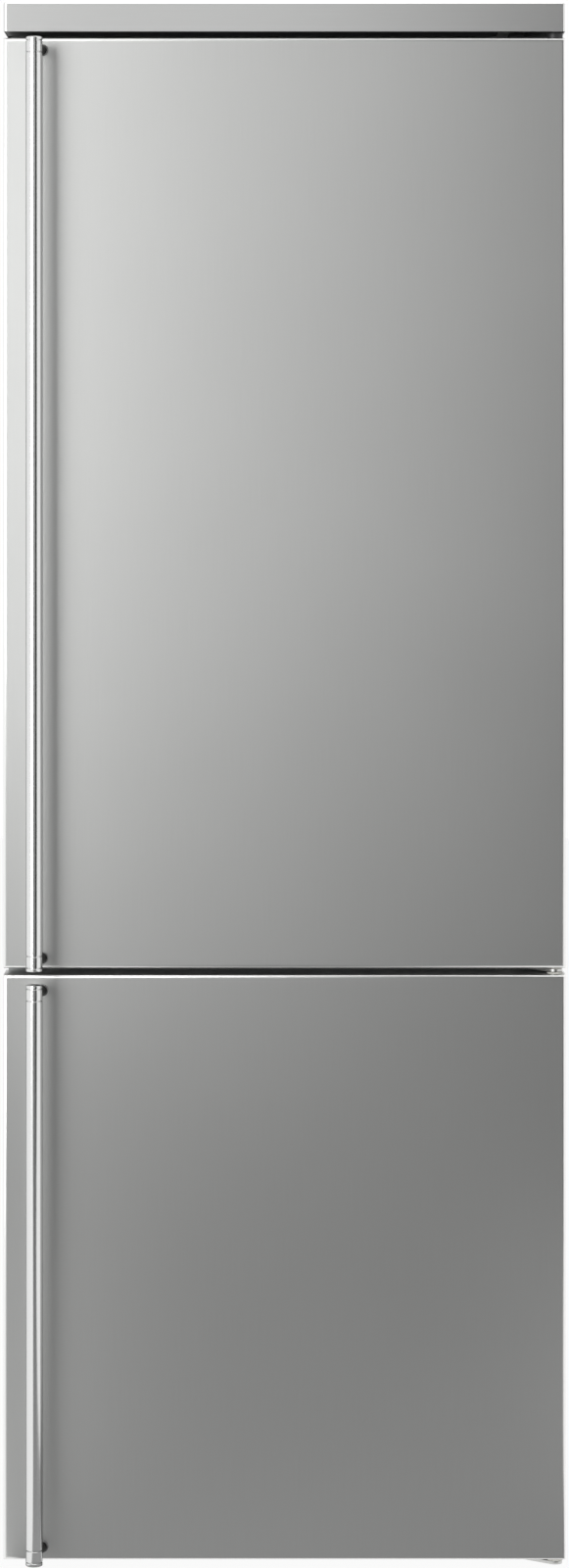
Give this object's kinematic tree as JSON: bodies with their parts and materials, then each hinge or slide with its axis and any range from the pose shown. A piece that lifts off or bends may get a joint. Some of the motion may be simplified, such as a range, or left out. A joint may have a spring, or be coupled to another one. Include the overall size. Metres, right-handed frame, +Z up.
{
  "type": "bottom freezer refrigerator",
  "caption": "Tall bottom freezer refrigerator with brushed steel doors hinged on the right, long round bar handles, and glass shelves, door bins and drawers inside.",
  "frame": {"origin": "on the floor under the middle of the whole envelope, handles and wall buffers included", "axes": "+Z up, the doors face -Y, +X is the viewer's right, where the hinges are"},
  "size_m": [0.7, 0.764, 1.96],
  "materials": {
    "door_steel": "satin",
    "handle_steel": "polished",
    "cabinet_paint": "satin",
    "plated_steel": "satin",
    "black_paint": "gloss",
    "foam": "matte",
    "liner_plastic": "gloss",
    "seal_rubber": "matte",
    "dark_plastic": "matte",
    "grey_plastic": "satin",
    "white_plastic": "satin",
    "clear_plastic": "gloss",
    "shelf_glass": "polished",
    "chrome_wire": "polished",
    "coil_aluminium": "satin",
    "nylon": "satin"
  },
  "bodies": {
    "cabinet": {"outer_wrapper": "cabinet_paint", "back_panel": "cabinet_paint", "base_pan": "plated_steel", "mullion_rail": "cabinet_paint", "cabinet_foam": "foam", "fridge_liner": "liner_plastic", "freezer_liner": "liner_plastic", "top_cap": "door_steel", "cap_tray": "dark_plastic", "top_hinge": "plated_steel", "middle_hinge": "plated_steel", "bottom_hinge": "plated_steel", "hinge_screws": "plated_steel", "glass_shelves": "shelf_glass", "shelf_trims": "grey_plastic", "bottle_rack": "chrome_wire", "air_duct_panel": "white_plastic", "lamp_lens": "clear_plastic", "control_panel": "white_plastic", "evaporator_cover": "white_plastic", "evaporator": "coil_aluminium", "compressor_deck": "plated_steel", "compressor": "black_paint", "condenser_coil": "black_paint", "condenser_fan_frame": "dark_plastic", "drip_tray": "dark_plastic", "bay_cover": "cabinet_paint", "mains_inlet": "dark_plastic", "wall_spacers": "dark_plastic"},
    "upper_door": {"upper_door_skin": "door_steel", "upper_door_foam": "foam", "upper_door_liner": "liner_plastic", "upper_door_gasket": "seal_rubber", "upper_door_bushes": "nylon", "upper_handle_tube": "handle_steel", "upper_handle_ends": "handle_steel", "top_door_bin": "clear_plastic", "middle_door_bin": "clear_plastic", "bottle_bin": "clear_plastic", "dairy_box": "clear_plastic"},
    "dairy_lid": {"dairy_lid": "clear_plastic"},
    "lower_door": {"lower_door_skin": "door_steel", "lower_door_foam": "foam", "lower_door_liner": "liner_plastic", "lower_door_gasket": "seal_rubber", "lower_door_bushes": "nylon", "lower_handle_tube": "handle_steel", "lower_handle_ends": "handle_steel"},
    "vegetable_drawer": {"vegetable_drawer": "clear_plastic"},
    "fresh_drawer": {"fresh_drawer": "clear_plastic"},
    "freezer_drawer_top": {"freezer_drawer_top": "clear_plastic"},
    "freezer_drawer_middle": {"freezer_drawer_middle": "clear_plastic"},
    "freezer_drawer_bottom": {"freezer_drawer_bottom": "clear_plastic"},
    "humidity_slider": {"humidity_slider": "grey_plastic"},
    "evaporator_fan": {"evaporator_fan": "white_plastic"},
    "condenser_fan": {"condenser_fan": "dark_plastic"},
    "front_foot_left": {"front_foot_left": "dark_plastic"},
    "front_foot_right": {"front_foot_right": "dark_plastic"},
    "rear_roller_left": {"rear_roller_left": "nylon"},
    "rear_roller_right": {"rear_roller_right": "nylon"}
  },
  "joints": [
    {"name": "upper_door_swing", "type": "hinge", "parent": "cabinet", "child": "upper_door", "pos_m": [0.338, -0.298, 1.337], "axis": [0, 0, 1], "range_deg": [0, 120]},
    {"name": "lower_door_swing", "type": "hinge", "parent": "cabinet", "child": "lower_door", "pos_m": [0.338, -0.298, 0.386], "axis": [0, 0, 1], "range_deg": [0, 120]},
    {"name": "dairy_lid_lift", "type": "hinge", "parent": "upper_door", "child": "dairy_lid", "pos_m": [0, -0.237, 1.736], "axis": [1, 0, 0], "range_deg": [0, 75]},
    {"name": "vegetable_drawer_slide", "type": "slide", "parent": "cabinet", "child": "vegetable_drawer", "axis": [0, -1, 0], "range_m": [0, 0.2]},
    {"name": "fresh_drawer_slide", "type": "slide", "parent": "cabinet", "child": "fresh_drawer", "axis": [0, -1, 0], "range_m": [0, 0.2]},
    {"name": "freezer_top_slide", "type": "slide", "parent": "cabinet", "child": "freezer_drawer_top", "axis": [0, -1, 0], "range_m": [0, 0.2]},
    {"name": "freezer_middle_slide", "type": "slide", "parent": "cabinet", "child": "freezer_drawer_middle", "axis": [0, -1, 0], "range_m": [0, 0.2]},
    {"name": "freezer_bottom_slide", "type": "slide", "parent": "cabinet", "child": "freezer_drawer_bottom", "axis": [0, -1, 0], "range_m": [0, 0.2]},
    {"name": "humidity_slide", "type": "slide", "parent": "cabinet", "child": "humidity_slider", "axis": [1, 0, 0], "range_m": [-0.015, 0.015]},
    {"name": "evaporator_fan_spin", "type": "hinge", "parent": "cabinet", "child": "evaporator_fan", "pos_m": [0, 0.268, 0.61], "axis": [0, 1, 0], "continuous": true},
    {"name": "condenser_fan_spin", "type": "hinge", "parent": "cabinet", "child": "condenser_fan", "pos_m": [0, 0.254, 0.09], "axis": [1, 0, 0], "continuous": true},
    {"name": "front_foot_left_turn", "type": "hinge", "parent": "cabinet", "child": "front_foot_left", "pos_m": [-0.29, -0.17, 0.03], "axis": [0, 0, 1], "continuous": true},
    {"name": "rear_roller_left_roll", "type": "hinge", "parent": "cabinet", "child": "rear_roller_left", "pos_m": [-0.268, 0.328, 0.015], "axis": [1, 0, 0], "continuous": true},
    {"name": "front_foot_right_turn", "type": "hinge", "parent": "cabinet", "child": "front_foot_right", "pos_m": [0.29, -0.17, 0.03], "axis": [0, 0, 1], "continuous": true},
    {"name": "rear_roller_right_roll", "type": "hinge", "parent": "cabinet", "child": "rear_roller_right", "pos_m": [0.268, 0.328, 0.015], "axis": [1, 0, 0], "continuous": true}
  ],
  "couplings": [
    {"joint": "vegetable_drawer_slide", "follows": "upper_door_swing", "m_per_rad": 0.0954},
    {"joint": "fresh_drawer_slide", "follows": "upper_door_swing", "m_per_rad": 0.0954},
    {"joint": "freezer_top_slide", "follows": "lower_door_swing", "m_per_rad": 0.0954},
    {"joint": "freezer_middle_slide", "follows": "lower_door_swing", "m_per_rad": 0.0954},
    {"joint": "freezer_bottom_slide", "follows": "lower_door_swing", "m_per_rad": 0.0954}
  ]
}
